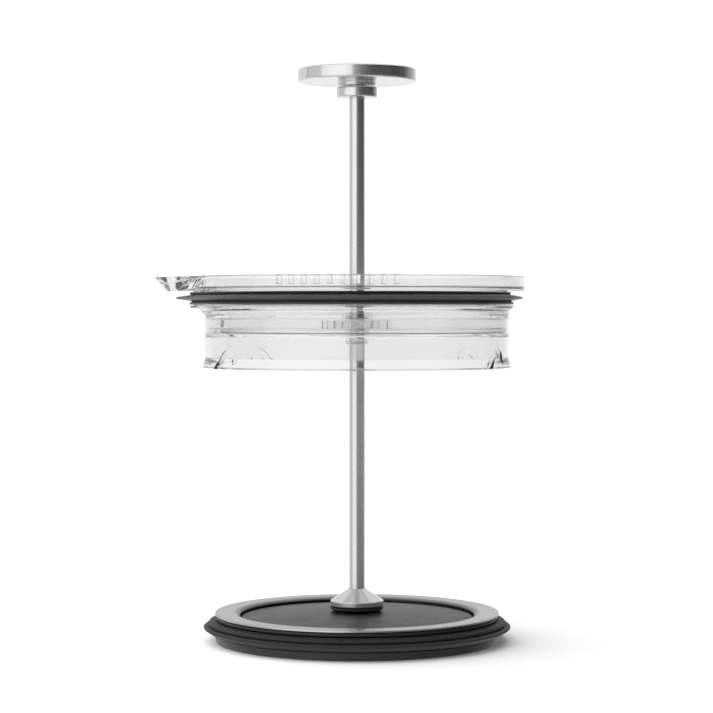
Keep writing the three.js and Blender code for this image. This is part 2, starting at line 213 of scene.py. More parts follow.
def combine(piece, others, operation):
    """Applies a boolean of the piece with each of the other solids in turn, which are removed."""
    for other in others:
        modifier = piece.modifiers.new("combine", "BOOLEAN")
        modifier.operation = operation
        modifier.solver = "MANIFOLD"
        modifier.object = other
    depsgraph = bpy.context.evaluated_depsgraph_get()
    mesh = bpy.data.meshes.new_from_object(piece.evaluated_get(depsgraph))
    piece.modifiers.clear()
    piece.data = mesh
    for other in others:
        bpy.data.objects.remove(other)
    return piece


def add_piece(piece, body, node, look):
    """Gives the piece its look and lets it stand for its CAD node on its body."""
    piece.data.shade_smooth()
    piece.data.set_sharp_from_angle(angle=SHARP_ANGLE)
    piece.data.materials.clear()
    piece.data.materials.append(look)
    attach(piece, body)
    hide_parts(node)


# ---- Materials ----


class Nodes:
    """Short calls for building a node tree."""

    def __init__(self, tree):
        self.tree = tree
        tree.nodes.clear()

    def add(self, kind, inputs=None, **properties):
        node = self.tree.nodes.new("ShaderNode" + kind)
        for key, value in properties.items():
            setattr(node, key, value)
        for key, value in (inputs or {}).items():
            self.put(node.inputs[key], value)
        return node

    def put(self, socket, value):
        if isinstance(value, bpy.types.NodeSocket):
            self.tree.links.new(value, socket)
        else:
            socket.default_value = value

    def math(self, operation, a, b=0.0, c=0.0):
        return self.add("Math", {0: a, 1: b, 2: c}, operation=operation).outputs[0]

    def vector(self, operation, a, b=(0, 0, 0)):
        node = self.add("VectorMath", {0: a}, operation=operation)
        if operation == "SCALE":
            self.put(node.inputs["Scale"], b)
        elif operation != "LENGTH":
            self.put(node.inputs[1], b)
        return node.outputs["Value" if operation in ("LENGTH", "DOT_PRODUCT") else "Vector"]

    def span(self, value, low, high, to_low, to_high):
        """Maps low..high to to_low..to_high, and holds the end values beyond."""
        node = self.add("MapRange", {"Value": value, "From Min": low, "From Max": high})
        node.inputs["To Min"].default_value = to_low
        node.inputs["To Max"].default_value = to_high
        return node.outputs["Result"]

    def noise(self, vector, scale, detail=2.0, roughness=0.5):
        node = self.add(
            "TexNoise", {"Vector": vector, "Scale": scale, "Detail": detail, "Roughness": roughness}
        )
        return node.outputs[0]

    def ramp(self, value, stops):
        """Grey levels at (position, level) stops, with straight lines between them."""
        node = self.add("ValToRGB", {"Fac": value})
        ramp = node.color_ramp
        while len(ramp.elements) > 1:
            ramp.elements.remove(ramp.elements[0])
        for i, (position, level) in enumerate(stops):
            element = ramp.elements[0] if i == 0 else ramp.elements.new(position)
            element.position = position
            element.color = (level, level, level, 1)
        return node.outputs["Color"]

    def mix(self, factor, low, high):
        """Blends two numbers."""
        return self.add("Mix", {"Factor": factor, 2: low, 3: high}).outputs[0]

    def tint(self, factor, low, high):
        """Blends two colours; either may also come from another node."""
        node = self.add("Mix", {"Factor": factor}, data_type="RGBA")
        for i, colour in ((6, low), (7, high)):
            self.put(node.inputs[i], (*colour, 1) if isinstance(colour, tuple) else colour)
        return node.outputs[2]

    def relief(self, shader, height, strength, depth):
        """Bumps the shader's surface, with a depth in metres."""
        bump = self.add("Bump", {"Height": height, "Strength": strength, "Distance": depth})
        self.put(shader.inputs["Normal"], bump.outputs[0])


def new_look(name, **constants):
    """A material, its node builder and its shader, with constants set on the shader's sockets."""
    look = bpy.data.materials.new(name)
    look.use_nodes = True
    nodes = Nodes(look.node_tree)
    shader = nodes.add("BsdfPrincipled")
    for key, value in constants.items():
        shader.inputs[key.replace("_", " ")].default_value = value
    nodes.add("OutputMaterial", {"Surface": shader.outputs[0]})
    return look, nodes, shader


def shades(tone, dark, light=1.0):
    """A darker and a lighter version of a colour."""
    return tuple(c * dark for c in tone), tuple(c * light for c in tone)


def turned_coordinates(nodes):
    """Object coordinates, and (radius, height) coordinates whose bands run round the axis."""
    plain = nodes.add("TexCoord").outputs["Object"]
    parts = nodes.add("SeparateXYZ", {0: plain})
    flat = nodes.add("CombineXYZ", {0: parts.outputs[0], 1: parts.outputs[1]}).outputs[0]
    radius = nodes.vector("LENGTH", flat)
    rings = nodes.add("CombineXYZ", {0: radius, 1: parts.outputs[2]}).outputs[0]
    waver = nodes.vector("SCALE", plain, 0.004)
    return plain, nodes.vector("ADD", rings, waver)


def steel_look(
    name, tone, roughness, grain_depth, anisotropy, unevenness=1.0, painted_shade_edge=None, edge_tint=1.0
):
    """Turned steel: fine grooves round the axis, faint smudges, and a sheen across the grooves.

    Painted shade on a rolled edge, given as two radii in millimetres, darkens from the outer radius
    to the inner one.
    An edge tint below 1 holds back the reflection at grazing angles.
    """
    look, nodes, shader = new_look(
        name,
        Metallic=1.0,
        Anisotropic=anisotropy,
        Anisotropic_Rotation=0.25,
        Specular_Tint=(edge_tint, edge_tint, edge_tint, 1),
    )
    plain, rings = turned_coordinates(nodes)
    grooves = nodes.noise(rings, 9000, 3.0, 0.6)
    bands = nodes.noise(rings, 900, 2.0, 0.5)
    smudges = nodes.noise(plain, 60, 3.0, 0.55)
    level = nodes.math("MULTIPLY_ADD", bands, 0.5, nodes.math("MULTIPLY", smudges, 0.5))
    colour = nodes.tint(level, *shades(tone, 1 - 0.06 * unevenness))
    # Painted shade: the colour darkens towards the inner radius, where the pressed edge rolls down
    # to the hole.
    if painted_shade_edge:
        radius = nodes.add("SeparateXYZ", {0: rings}).outputs[0]
        unshaded_share = nodes.span(radius, painted_shade_edge[0] * MM, painted_shade_edge[1] * MM, 0.0, 1.0)
        colour = nodes.tint(unshaded_share, shades(tone, 0.16)[0], colour)
    nodes.put(shader.inputs["Base Color"], colour)
    smoothest, roughest = roughness - 0.03 * unevenness, roughness + 0.04 * unevenness
    nodes.put(shader.inputs["Roughness"], nodes.span(level, 0.3, 0.7, smoothest, roughest))
    nodes.relief(shader, grooves, grain_depth, 0.00002)
    tangent = nodes.add("Tangent", direction_type="RADIAL", axis="Z")
    nodes.put(shader.inputs["Tangent"], tangent.outputs[0])
    return look


def black_look(name, tone, roughness, grain_scale, grain_depth, specular):
    """Moulded black: a fine texture, a faint mottle and a few paler rubs."""
    look, nodes, shader = new_look(name, Specular_IOR_Level=specular)
    plain = nodes.add("TexCoord").outputs["Object"]
    grain = nodes.noise(plain, grain_scale, 3.0, 0.6)
    mottle = nodes.noise(plain, 180, 4.0, 0.6)
    rubs = nodes.span(nodes.noise(plain, 45, 5.0, 0.7), 0.55, 0.8, 0.0, 1.0)
    level = nodes.math("MULTIPLY_ADD", rubs, 0.35, nodes.math("MULTIPLY", mottle, 0.65))
    nodes.put(shader.inputs["Base Color"], nodes.tint(level, *shades(tone, 0.8, 1.25)))
    sheen = nodes.span(level, 0.2, 0.7, roughness - 0.05, roughness + 0.05)
    nodes.put(shader.inputs["Roughness"], sheen)
    nodes.relief(shader, grain, grain_depth, 0.00004)
    return look


def clear_look(name, tone, roughness):
    """Clear moulded plastic: barely uneven surfaces, with faint flow lines and handling haze."""
    look, nodes, shader = new_look(name, Transmission_Weight=1.0, IOR=1.49)
    plain = nodes.add("TexCoord").outputs["Object"]
    flow = nodes.noise(plain, 55, 2.0, 0.45)
    haze = nodes.noise(plain, 140, 4.0, 0.6)
    nodes.put(shader.inputs["Base Color"], nodes.tint(haze, *shades(tone, 0.985)))
    nodes.put(shader.inputs["Roughness"], nodes.span(haze, 0.35, 0.75, roughness, roughness + 0.02))
    nodes.relief(shader, flow, 0.1, 0.00015)
    return look


def nylon_look():
    """Undyed nylon: cloudy and half clear."""
    look, nodes, shader = new_look("natural_nylon", Transmission_Weight=0.6, IOR=1.53)
    plain = nodes.add("TexCoord").outputs["Object"]
    cloud = nodes.noise(plain, 500, 3.0, 0.6)
    colour = nodes.tint(cloud, (0.78, 0.78, 0.76), (0.88, 0.88, 0.86))
    nodes.put(shader.inputs["Base Color"], colour)
    nodes.put(shader.inputs["Roughness"], nodes.span(cloud, 0.3, 0.7, 0.25, 0.4))
    nodes.relief(shader, cloud, 0.2, 0.00005)
    return look


WIRE_SPACING = 0.25  # of the woven mesh, in millimetres


def mesh_look():
    """Plain weave of fine wire: metal where a wire passes over, with painted shade that darkens
    where a wire dips under and in the holes.
    """
    look, nodes, shader = new_look("steel_mesh", Metallic=1.0)
    plain = nodes.add("TexCoord").outputs["Object"]
    parts = nodes.add("SeparateXYZ", {0: plain})
    wave = 2 * math.pi / (2 * WIRE_SPACING * MM)

    def wires(across, along):
        """Height of the wires that repeat in one direction and weave up and down in the other."""
        row = nodes.math("SINE", nodes.math("MULTIPLY", parts.outputs[across], wave))
        weave = nodes.math("SINE", nodes.math("MULTIPLY", parts.outputs[along], wave / 2))
        weave = nodes.math("MULTIPLY", weave, 0.3)
        return nodes.math("MULTIPLY_ADD", nodes.math("ABSOLUTE", row), 0.7, weave)

    height = nodes.math("MAXIMUM", wires(0, 1), wires(1, 0))
    # Painted shade: the colour darkens from the high wires into the holes and where a wire dips
    # under.
    wire_or_hole_shade = nodes.span(height, 0.25, 0.75, 0.0, 1.0)
    colour = nodes.tint(wire_or_hole_shade, (0.04, 0.04, 0.04), (0.62, 0.62, 0.6))
    nodes.put(shader.inputs["Base Color"], colour)
    nodes.put(shader.inputs["Roughness"], nodes.span(wire_or_hole_shade, 0.0, 1.0, 0.7, 0.32))
    nodes.relief(shader, height, 0.8, 0.00012)
    return look


polished_steel = steel_look("polished_steel", (0.69, 0.69, 0.685), 0.16, 0.03, 0.4)
satin_steel = steel_look("satin_steel", (0.64, 0.64, 0.635), 0.25, 0.003, 0.3, 0.15)
brushed_steel = steel_look("brushed_steel", (0.46, 0.46, 0.455), 0.24, 0.12, 0.6)
# The ring's rolled inner edge carries painted shade, darker towards the hole.
ring_steel = steel_look(
    "ring_steel", (0.52, 0.52, 0.515), 0.24, 0.12, 0.6, painted_shade_edge=(37.8, 39.9), edge_tint=0.72
)
steel_mesh = mesh_look()
clear_plastic = clear_look("clear_plastic", (0.905, 0.907, 0.907), 0.01)
strainer_plastic = clear_look("strainer_plastic", (0.96, 0.962, 0.962), 0.02)
natural_nylon = nylon_look()
black_silicone = black_look("black_silicone", (0.030, 0.030, 0.0305), 0.55, 5200, 0.05, 0.12)
gasket_silicone = black_look("gasket_silicone", (0.068, 0.068, 0.0685), 0.40, 5200, 0.05, 0.2)
black_plastic = black_look("black_plastic", (0.024, 0.024, 0.0245), 0.44, 3800, 0.10, 0.36)
matt_plastic = black_look("matt_black_plastic", (0.012, 0.012, 0.0124), 0.45, 3800, 0.10, 0.3)

# ---- Plunger: knob, collar and rod ----

knob_radius, hub_bottom, knob_top = size_of("knob")
collar_radius, collar_bottom, collar_top = size_of("knob_collar")
rod_radius, rod_bottom, rod_top = size_of("plunger_rod")
bore = rod_radius + GAP
slip_bore = rod_radius + SLIP
knob_under = hub_bottom + 1.2
hub_radius = 6.0

knob = turned(
    "knob_turned",
    [
        (0, knob_top, 0),
        (0, rod_top + GAP, 0),
        (slip_bore, rod_top + GAP, 0),
        (slip_bore, hub_bottom, 0),
        (hub_radius, hub_bottom, 0.15),
        (hub_radius, knob_under, 0.2),
        (knob_radius, knob_under, 0.65),
        (knob_radius, knob_top, 0.65),
    ],
)
add_piece(knob, "plunger", "knob", polished_steel)

collar = turned(
    "knob_collar_turned",
    [
        (slip_bore, collar_bottom, 0),
        (collar_radius, collar_bottom, 0.6),
        (collar_radius, collar_top, 0.8),
        (slip_bore, collar_top, 0),
    ],
)
add_piece(collar, "plunger", "knob_collar", polished_steel)

rod = turned(
    "plunger_rod_ground",
    [
        (0, rod_bottom, 0),
        (rod_radius - 0.6, rod_bottom, 0.2),
        (rod_radius, rod_bottom + 0.8, 0),
        (rod_radius, rod_top, 0.3),
        (0, rod_top, 0),
    ],
    sides=THIN_SIDES,
)
add_piece(rod, "plunger", "plunger_rod", polished_steel)

# ---- Filter ----

nut_radius, nut_bottom, nut_top = size_of("flare_nut")
washer_radius, washer_bottom, washer_top = size_of("nut_washer")
disc_radius, disc_bottom, disc_top = size_of("press_disc")
ring_radius, ring_bottom, ring_top = size_of("steel_ring")
carrier_radius, carrier_bottom, carrier_top = size_of("ring_carrier")
seal_radius, seal_bottom, seal_top = size_of("wiper_seal")
foot_radius, foot_bottom, foot_top = size_of("base_frame")
ring_inner = 37.6
ring_thickness, ring_roll, ring_drop = 0.6, 2.2, 0.8
carrier_inner = 38.2
seal_inner = seal_radius - 5.9
wall_inner, wall_outer, foot_edge = 38.6, 43.0, 45.1
hub_outer, hub_pocket, pocket_floor = 7, 4.3, 1.8
screw_head, screw_shank, screw_head_top = 1.6, 0.9, 1.5
counterbore, shank_hole = (1.9, -1, 1.8), (1.2, 1, 8)  # radius, bottom and top
band_top = seal_bottom - GAP
wall_top = carrier_bottom - GAP
rim_top = nut_bottom + 1.85
cone_height = nut_top - rim_top

nut = turned(
    "flare_nut_turned",
    [
        (slip_bore, nut_bottom, 0),
        (nut_radius - 0.1, nut_bottom, 0.15),
        (nut_radius, nut_bottom + 0.3, 0.1),
        (nut_radius, rim_top - 0.15, 0.15),
        (nut_radius - 0.3, rim_top + 0.1, 0.15),
        (5.4, rim_top + 0.51 * cone_height, 0.8),
        (3.7, rim_top + 0.80 * cone_height, 0.5),
        (slip_bore + 0.12, nut_top, 0.05),
        (slip_bore, nut_top, 0),
    ],
)
add_piece(nut, "nut", "flare_nut", satin_steel)

washer = turned(
    "nut_washer_moulded",
    [
        (slip_bore, washer_bottom, 0),
        (washer_radius - 1.1, washer_bottom, 0.2),
        (washer_radius - 0.15, washer_bottom + 0.45, 0.25),
        (washer_radius, washer_top - 0.3, 0.15),
        (washer_radius - 0.2, washer_top, 0.1),
        (slip_bore, washer_top, 0),
    ],
)
add_piece(washer, "filter", "nut_washer", black_silicone)

disc_flat = 8.8
disc_thickness = 1.5
disc_edge = disc_bottom + disc_thickness
crown = []
for i in range(1, CURVE_STEPS + 1):
    part = i / CURVE_STEPS
    r = disc_flat + (disc_radius - disc_flat) * part
    crown.append((r, disc_top - (disc_top - disc_edge) * part**1.6, 0))
upper = [(bore, disc_top, 0), (disc_flat, disc_top, 0), *crown[:-1], (*crown[-1][:2], 0.25)]
lower = [(r, z - disc_thickness, 0) for r, z, _ in upper]
disc = turned("press_disc_moulded", [*lower, *reversed(upper)])
add_piece(disc, "filter", "press_disc", matt_plastic)

roll = []
for i in range(CURVE_STEPS + 1):
    part = i / CURVE_STEPS
    roll.append((ring_inner + ring_roll * (1 - part), ring_top - ring_drop * part**1.8, 0))
under_roll = [(r, z - ring_thickness, 0) for r, z, _ in reversed(roll)]
ring = turned(
    "steel_ring_pressed",
    [
        *under_roll,
        (ring_radius, ring_top - ring_thickness, 0.1),
        (ring_radius, ring_top, 0.18),
        *roll,
    ],
    sides=WIDE_SIDES,
)
add_piece(ring, "filter", "steel_ring", ring_steel)

carrier = turned(
    "ring_carrier_moulded",
    [
        (carrier_inner, carrier_bottom, 0.15),
        (carrier_radius - 0.1, carrier_bottom, 0.25),
        (carrier_radius, carrier_top, 0.12),
        (carrier_inner + 2.0, carrier_top, 0.1),
        (carrier_inner, carrier_top - 0.8, 0.1),
    ],
    sides=WIDE_SIDES,
)
add_piece(carrier, "filter", "ring_carrier", black_plastic)

tip = seal_bottom + 1.8
waist = tip + 0.65
seal = turned(
    "wiper_seal_moulded",
    [
        (seal_inner, seal_bottom, 0),
        (46.9, seal_bottom, 0.1),
        (47.2, seal_bottom + 0.25, 0.1),
        (seal_radius, tip - 0.35, 0.35),
        (seal_radius, tip + 0.15, 0.2),
        (48.4, waist - 0.15, 0.12),
        (47.1, waist, 0.12),
        (47.7, waist + 0.35, 0.15),
        (47.5, seal_top - 0.5, 0.35),
        (46.4, seal_top - 0.2, 0.3),
        (45.4, seal_top, 0.1),
        (seal_inner, seal_top, 0),
    ],
    sides=WIDE_SIDES,
)
add_piece(seal, "filter", "wiper_seal", black_silicone)

band = turned(
    "base_frame_moulded",
    [
        (wall_inner, foot_bottom, 0.3),
        (foot_edge, foot_bottom, 0.25),
        (foot_radius, band_top, 0.3),
        (wall_outer, band_top, 0),
        (wall_outer, wall_top, 0),
        (wall_inner, wall_top, 0.2),
    ],
    sides=WIDE_SIDES,
)
hub = turned(
    "hub",
    [
        (0, 0, 0),
        (hub_outer, 0, 0.4),
        (hub_outer, foot_top, 0.3),
        (hub_pocket, foot_top, 0),
        (hub_pocket, pocket_floor, 0),
        (0, pocket_floor, 0),
    ],
    sides=THIN_SIDES,
)
spoke_low, spoke_high = (5.5, -1.6, 0.5), (wall_inner + 1, 1.6, 2.9)
spokes = [block("spoke", spoke_low, spoke_high, 0.25, math.radians(60 * i)) for i in range(6)]
foot = combine(band, [hub, *spokes], "UNION")
screw_circle, screw_angles = 40.8, [math.radians(30 + 120 * i) for i in range(3)]
tools = []
for a in screw_angles:
    for radius, low, high in (counterbore, shank_hole):
        tool = turned("tool", [(0, low, 0), (radius, low, 0), (radius, high, 0), (0, high, 0)], 32)
        shift(tool, screw_circle, a)
        tools.append(tool)
foot = combine(foot, tools, "DIFFERENCE")
add_piece(foot, "filter", "base_frame", black_plastic)

insert_radius, insert_bottom, insert_top = size_of("hub_insert")
hub_insert = turned(
    "hub_insert_knurled",
    [
        (bore, insert_bottom, 0.1),
        (insert_radius, insert_bottom, 0.2),
        (insert_radius, insert_top, 0.2),
        (bore, insert_top, 0.1),
    ],
    sides=64,
)
add_piece(hub_insert, "filter", "hub_insert", brushed_steel)

screen_radius, screen_bottom, screen_top = size_of("mesh_screen")
screen_inner = 7.3
screen = turned(
    "mesh_screen_woven",
    [
        (screen_inner, screen_bottom, 0),
        (screen_radius, screen_bottom, 0.1),
        (screen_radius, screen_top, 0.1),
        (screen_inner, screen_top, 0),
    ],
)
add_piece(screen, "filter", "mesh_screen", steel_mesh)

retainer_radius, retainer_bottom, retainer_top = size_of("mesh_retainer")
retainer_inner = retainer_radius - 2.5
retainer = turned(
    "mesh_retainer_moulded",
    [
        (retainer_inner, retainer_bottom, 0.15),
        (retainer_radius, retainer_bottom, 0.15),
        (retainer_radius, retainer_top, 0.2),
        (retainer_inner, retainer_top - 0.5, 0.2),
    ],
)
add_piece(retainer, "filter", "mesh_retainer", black_plastic)

for i in range(len(screw_angles)):
    node = f"ring_screw_{i + 1}"
    low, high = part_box(node)
    low, high = low / MM, high / MM
    centre = (low + high) / 2
    screw = turned(
        f"{node}_turned",
        [
            (0, low.z, 0),
            (screw_head, low.z, 0.25),
            (screw_head, screw_head_top, 0.1),
            (screw_shank, screw_head_top, 0),
            (screw_shank, high.z, 0.2),
            (0, high.z, 0),
        ],
        sides=48,
    )
    slot_high = (1.1, 0.2, low.z + 0.5)
    cross = [block("slot", (-1.1, -0.2, 0), slot_high, 0, math.radians(q)) for q in (20, 110)]
    screw = combine(screw, cross, "DIFFERENCE")
    screw.data.transform(Matrix.Translation((centre.x * MM, centre.y * MM, 0)))
    add_piece(screw, "filter", node, brushed_steel)

# ---- Lid ----

brim_radius, skirt_bottom, brim_top = size_of("lid_body")
trough_radius, trough_depth = 3.0, 1.2
trough_half = math.sqrt(trough_radius**2 - (trough_radius - trough_depth) ** 2)
tip_loss = BEAK_TIP_RADIUS - math.sqrt(BEAK_TIP_RADIUS**2 - trough_half**2)
spout_reach = reach_of("lid_body") + tip_loss
spout_foot = spout_reach - 4.6
fin_radius, gasket_bottom, gasket_top = size_of("lid_gasket")
fin_reach = reach_of("lid_gasket")
flange_radius, bush_bottom, bush_top = size_of("guide_bush")
dish_radius, boss_bottom, boss_top = size_of("lid_insert")

brim_bottom = gasket_top + GAP
brim_floor = brim_bottom + 0.85
rim_inner, rim_reach = brim_radius - 2.4, spout_reach - 8.6
deck_bottom = bush_bottom + 1.2
deck_top = deck_bottom + 1.8
bush_radius = flange_radius - 1.5
bush_bore = bush_radius + GAP
sleeve_radius, sleeve_top = bush_bore + 1.3, deck_top + 1.6
neck_inner, neck_outer, bulge = 46.6, 47.9, 5.0
neck_bottom = gasket_bottom - GAP
skirt_inner, skirt_radius, lip_radius = 47.0, 48.6, 49.3
lip_top = skirt_bottom + 1.6
ledge = 50.1
dish_bottom, dish_floor, dish_rim = boss_bottom + 3.6, boss_bottom + 4.8, boss_top - 4.4
snap_radius, snap_bottom, snap_top = dish_radius + GAP, dish_bottom - GAP, dish_rim + GAP

lid = beaked(
    "lid_body_moulded",
    [
        (bush_bore, deck_bottom, bush_bore, 0),
        (neck_inner, deck_bottom, neck_inner + bulge, 0.8),
        (neck_inner, neck_bottom, neck_inner + bulge, 0.4),
        (neck_inner, neck_bottom - 0.4, neck_inner + 4, 0.3),
        (snap_radius, snap_top, snap_radius, 0.1),
        (snap_radius, snap_bottom, snap_radius, 0.1),
        (skirt_inner, snap_bottom - 0.7, skirt_inner, 0.3),
        (skirt_inner, skirt_bottom + 0.5, skirt_inner, 0.2),
        (skirt_inner + 0.5, skirt_bottom, skirt_inner + 0.5, 0.2),
        (lip_radius, skirt_bottom, lip_radius, 0.4),
        (lip_radius, lip_top - 0.5, lip_radius, 0.4),
        (skirt_radius, lip_top + 1.2, skirt_radius, 0.6),
        (skirt_radius, snap_top, skirt_radius, 0.8),
        (skirt_radius, neck_bottom - 1.7, skirt_radius + 2.2, 0.5),
        (ledge - 0.5, neck_bottom - 1.1, ledge + 1.2, 0.3),
        (ledge, neck_bottom - 0.8, ledge + 4, 0.15),
        (ledge, neck_bottom, ledge + 4, 0.1),
        (neck_outer, neck_bottom, neck_outer + bulge, 0.1),
        (neck_outer, brim_bottom, neck_outer + bulge, 0.3),
        (brim_radius, brim_bottom, spout_foot, 0.15),
        (brim_radius, brim_top, spout_reach, 0.4),
        (rim_inner, brim_top, rim_reach, 0.4),
        (rim_inner, brim_floor, rim_reach, 0.5),
        (neck_inner, brim_floor, neck_inner + bulge, 0.3),
        (neck_inner, deck_top, neck_inner + bulge, 0.6),
        (sleeve_radius, deck_top, sleeve_radius, 0.4),
        (sleeve_radius, sleeve_top, sleeve_radius, 0.2),
        (bush_bore, sleeve_top, bush_bore, 0.15),
    ],
    steps=PLASTIC_STEPS,
)


TRACK_WIDTH, TRACK_DEPTH = 2.4, 0.4
TRACK_ANGLES = (220, 140.5, 43.5, 339)  # degrees


def hook_outline(width, steps=24):
    """Outline of a hook-shaped stroke in (along, up), square at one end and round at the other."""
    knots = [(-6.4, -1.0), (-3.4, 2.2), (-0.6, 4.4), (2.2, 4.9), (4.3, 3.9), (4.9, 2.7)]
    knots = [np.array(k) for k in knots]

    def at(t):
        p = t * (len(knots) - 1)
        i = min(int(p), len(knots) - 2)
        u = p - i
        p0, p1 = knots[max(i - 1, 0)], knots[i]
        p2, p3 = knots[i + 1], knots[min(i + 2, len(knots) - 1)]
        v0, v1 = (p2 - p0) / 2, (p3 - p1) / 2
        cubic, square = 2 * p1 - 2 * p2 + v0 + v1, -3 * p1 + 3 * p2 - 2 * v0 - v1
        return cubic * u**3 + square * u**2 + v0 * u + p1

    line = [at(i / steps) for i in range(steps + 1)]
    right, left = [], []
    for i, p in enumerate(line):
        way = line[min(i + 1, steps)] - line[max(i - 1, 0)]
        way = way / np.linalg.norm(way)
        side = np.array([way[1], -way[0]]) * width / 2
        right.append(p + side)
        left.append(p - side)
    end = line[-1]
    start = math.atan2(*(right[-1] - end)[::-1])
    turns = [start + math.pi * k / 10 for k in range(1, 10)]
    arc = [end + width / 2 * np.array([math.cos(a), math.sin(a)]) for a in turns]
    return right + arc + left[::-1]


def track_tool(angle):
    """The hook's solid, placed so that it cuts into the skirt's outside at that angle."""
    outline = hook_outline(TRACK_WIDTH)
    radial = Vector((math.cos(angle), math.sin(angle), 0))
    tangent = Vector((-math.sin(angle), math.cos(angle), 0))
    verts = []
    for reach in (skirt_radius - TRACK_DEPTH, skirt_radius + 3):
        for x, y in outline:
            verts.append((radial * reach + tangent * x + Vector((0, 0, skirt_bottom + y))) * MM)
    n = len(outline)
    faces = [list(range(n))[::-1], list(range(n, 2 * n))]
    faces += [[k, (k + 1) % n, n + (k + 1) % n, n + k] for k in range(n)]
    tool = object_from("track", verts, faces)
    bm = bmesh.new()
    bm.from_mesh(tool.data)
    bmesh.ops.recalc_face_normals(bm, faces=bm.faces)
    bm.to_mesh(tool.data)
    bm.free()
    return tool


FLUTES, FLUTE_PITCH = 10, 4.3  # degrees from flute to flute
flute_radius, flute_stand_off = 1.25, 0.7
flute_bottom = brim_top - 3.0
flute_tools = []
for i in range(FLUTES):
    a = math.radians((i - (FLUTES - 1) / 2) * FLUTE_PITCH - 90)
    tool = turned(
        "flute",
        [
            (0, flute_bottom, 0),
            (flute_radius, flute_bottom, 0.3),
            (flute_radius, brim_top + 1, 0),
            (0, brim_top + 1, 0),
        ],
        sides=24,
    )
    shift(tool, brim_radius + flute_stand_off, a)
    flute_tools.append(tool)
pour_hole = block("pour_hole", (-46, -8, deck_bottom - 1), (-40, 8, deck_top + 1), 0.4)
trough = turned(
    "trough",
    [(0, -10, 0), (trough_radius, -10, 0), (trough_radius, 10, 0), (0, 10, 0)],
    sides=THIN_SIDES,
)
trough_place = Matrix.Translation((-60 * MM, 0, (brim_top + trough_radius - trough_depth) * MM))
trough.data.transform(trough_place @ Matrix.Rotation(math.pi / 2, 4, "Y"))
tracks = [track_tool(math.radians(a)) for a in TRACK_ANGLES]
lid = combine(lid, [pour_hole, trough, *flute_tools, *tracks], "DIFFERENCE")
add_piece(lid, "lid", "lid_body", clear_plastic)

boss_radius, head_radius = 3.7, 5.2
head_bottom = boss_top - 3.5
rib_top = dish_floor + 2.7
pocket, dish_wall = 4.2, 1.5
dish = turned(
    "lid_insert_moulded",
    [
        (bore, boss_bottom, 0.1),
        (boss_radius - 0.6, boss_bottom, 0.2),
        (boss_radius, boss_bottom + 0.8, 0.2),
        (boss_radius, dish_bottom, 0.3),
        (dish_radius, dish_bottom, 0.5),
        (dish_radius, dish_rim, 0.25),
        (dish_radius - dish_wall, dish_rim, 0.25),
        (dish_radius - dish_wall, dish_floor, 0.5),
        (boss_radius, dish_floor, 0.4),
        (boss_radius, head_bottom - 0.8, 0.2),
        (head_radius, head_bottom, 0.2),
        (head_radius, head_bottom + 1.6, 0.2),
        (boss_radius, boss_top, 0.2),
        (bore, boss_top, 0.1),
        (bore, head_bottom + 2.2, 0),
        (pocket, head_bottom + 2.2, 0),
        (pocket, head_bottom + 0.3, 0),
        (bore, head_bottom + 0.3, 0),
    ],
    steps=PLASTIC_STEPS,
)
rib_low, rib_high = (3.4, -0.45, dish_floor - 0.2), (12.0, 0.45, rib_top)
ribs = [block("rib", rib_low, rib_high, 0.12, math.radians(30 * i)) for i in range(12)]
dish = combine(dish, ribs, "UNION")
slot_low, slot_high = (34, -0.85, dish_bottom - 2), (43, 0.85, dish_floor + 1)
slot_turns = [math.radians(180 + (i - 4) * 7) for i in range(9)]
slots = [block("slot", slot_low, slot_high, 0.3, turn) for turn in slot_turns]
mouth = block("mouth", (-50, -8, dish_floor + 0.6), (-43, 8, dish_rim + 1), 0.3)
dish = combine(dish, [*slots, mouth], "DIFFERENCE")
add_piece(dish, "lid", "lid_insert", strainer_plastic)

fin_height = gasket_bottom + 2.15
gasket_inner = 48.2
gasket = beaked(
    "lid_gasket_moulded",
    [
        (gasket_inner, gasket_bottom, gasket_inner + bulge, 0),
        (50.1, gasket_bottom, 54.3, 0.3),
        (50.1, gasket_bottom + 0.7, 54.3, 0.25),
        (49.3, gasket_bottom + 0.95, 53.5, 0.1),
        (49.6, gasket_bottom + 1.2, 53.8, 0.1),
        (fin_radius - 0.2, fin_height - 0.33, fin_reach - 0.2, 0.15),
        (fin_radius, fin_height, fin_reach, 0.2),
        (fin_radius - 0.3, fin_height + 0.33, fin_reach - 0.3, 0.15),
        (49.7, fin_height + 0.9, 54.7, 0.1),
        (48.9, fin_height + 1.05, 53.9, 0.1),
        (49.3, fin_height + 1.35, 54.3, 0.15),
        (49.3, gasket_top, 54.3, 0.2),
        (gasket_inner, gasket_top, gasket_inner + bulge, 0),
    ],
    steps=PLASTIC_STEPS,
)
add_piece(gasket, "lid", "lid_gasket", gasket_silicone)

bush = turned(
    "guide_bush_moulded",
    [
        (bore, bush_bottom, 0.1),
        (flange_radius, bush_bottom, 0.25),
        (flange_radius, deck_bottom - GAP, 0.15),
        (bush_radius, deck_bottom - GAP, 0.1),
        (bush_radius, bush_top, 0.25),
        (bore, bush_top, 0.15),
    ],
    sides=THIN_SIDES,
)
add_piece(bush, "guide", "guide_bush", natural_nylon)

wiper_radius, wiper_bottom, wiper_top = size_of("rod_wiper")
wiper_inner = rod_radius + 0.15
wiper = turned(
    "rod_wiper_moulded",
    [
        (wiper_inner, wiper_bottom, 0.5),
        (wiper_radius, wiper_bottom, 0.5),
        (wiper_radius, wiper_top, 0.5),
        (wiper_inner, wiper_top, 0.5),
    ],
    sides=THIN_SIDES,
)
add_piece(wiper, "guide", "rod_wiper", black_silicone)

# ---- Studio: floor, surroundings and camera ----

VIEW_TURN = math.radians(6.5)  # how far the camera stands to the right of the part's front
CAMERA_DISTANCE, CAMERA_HEIGHT = 0.731, 0.10548  # metres
CAMERA_TILT, CAMERA_PAN = 1.118, 0.0126  # degrees
FLOOR_HALF = 6  # metres
BACKDROP = 1.1  # brightness behind the part, as the camera sees it

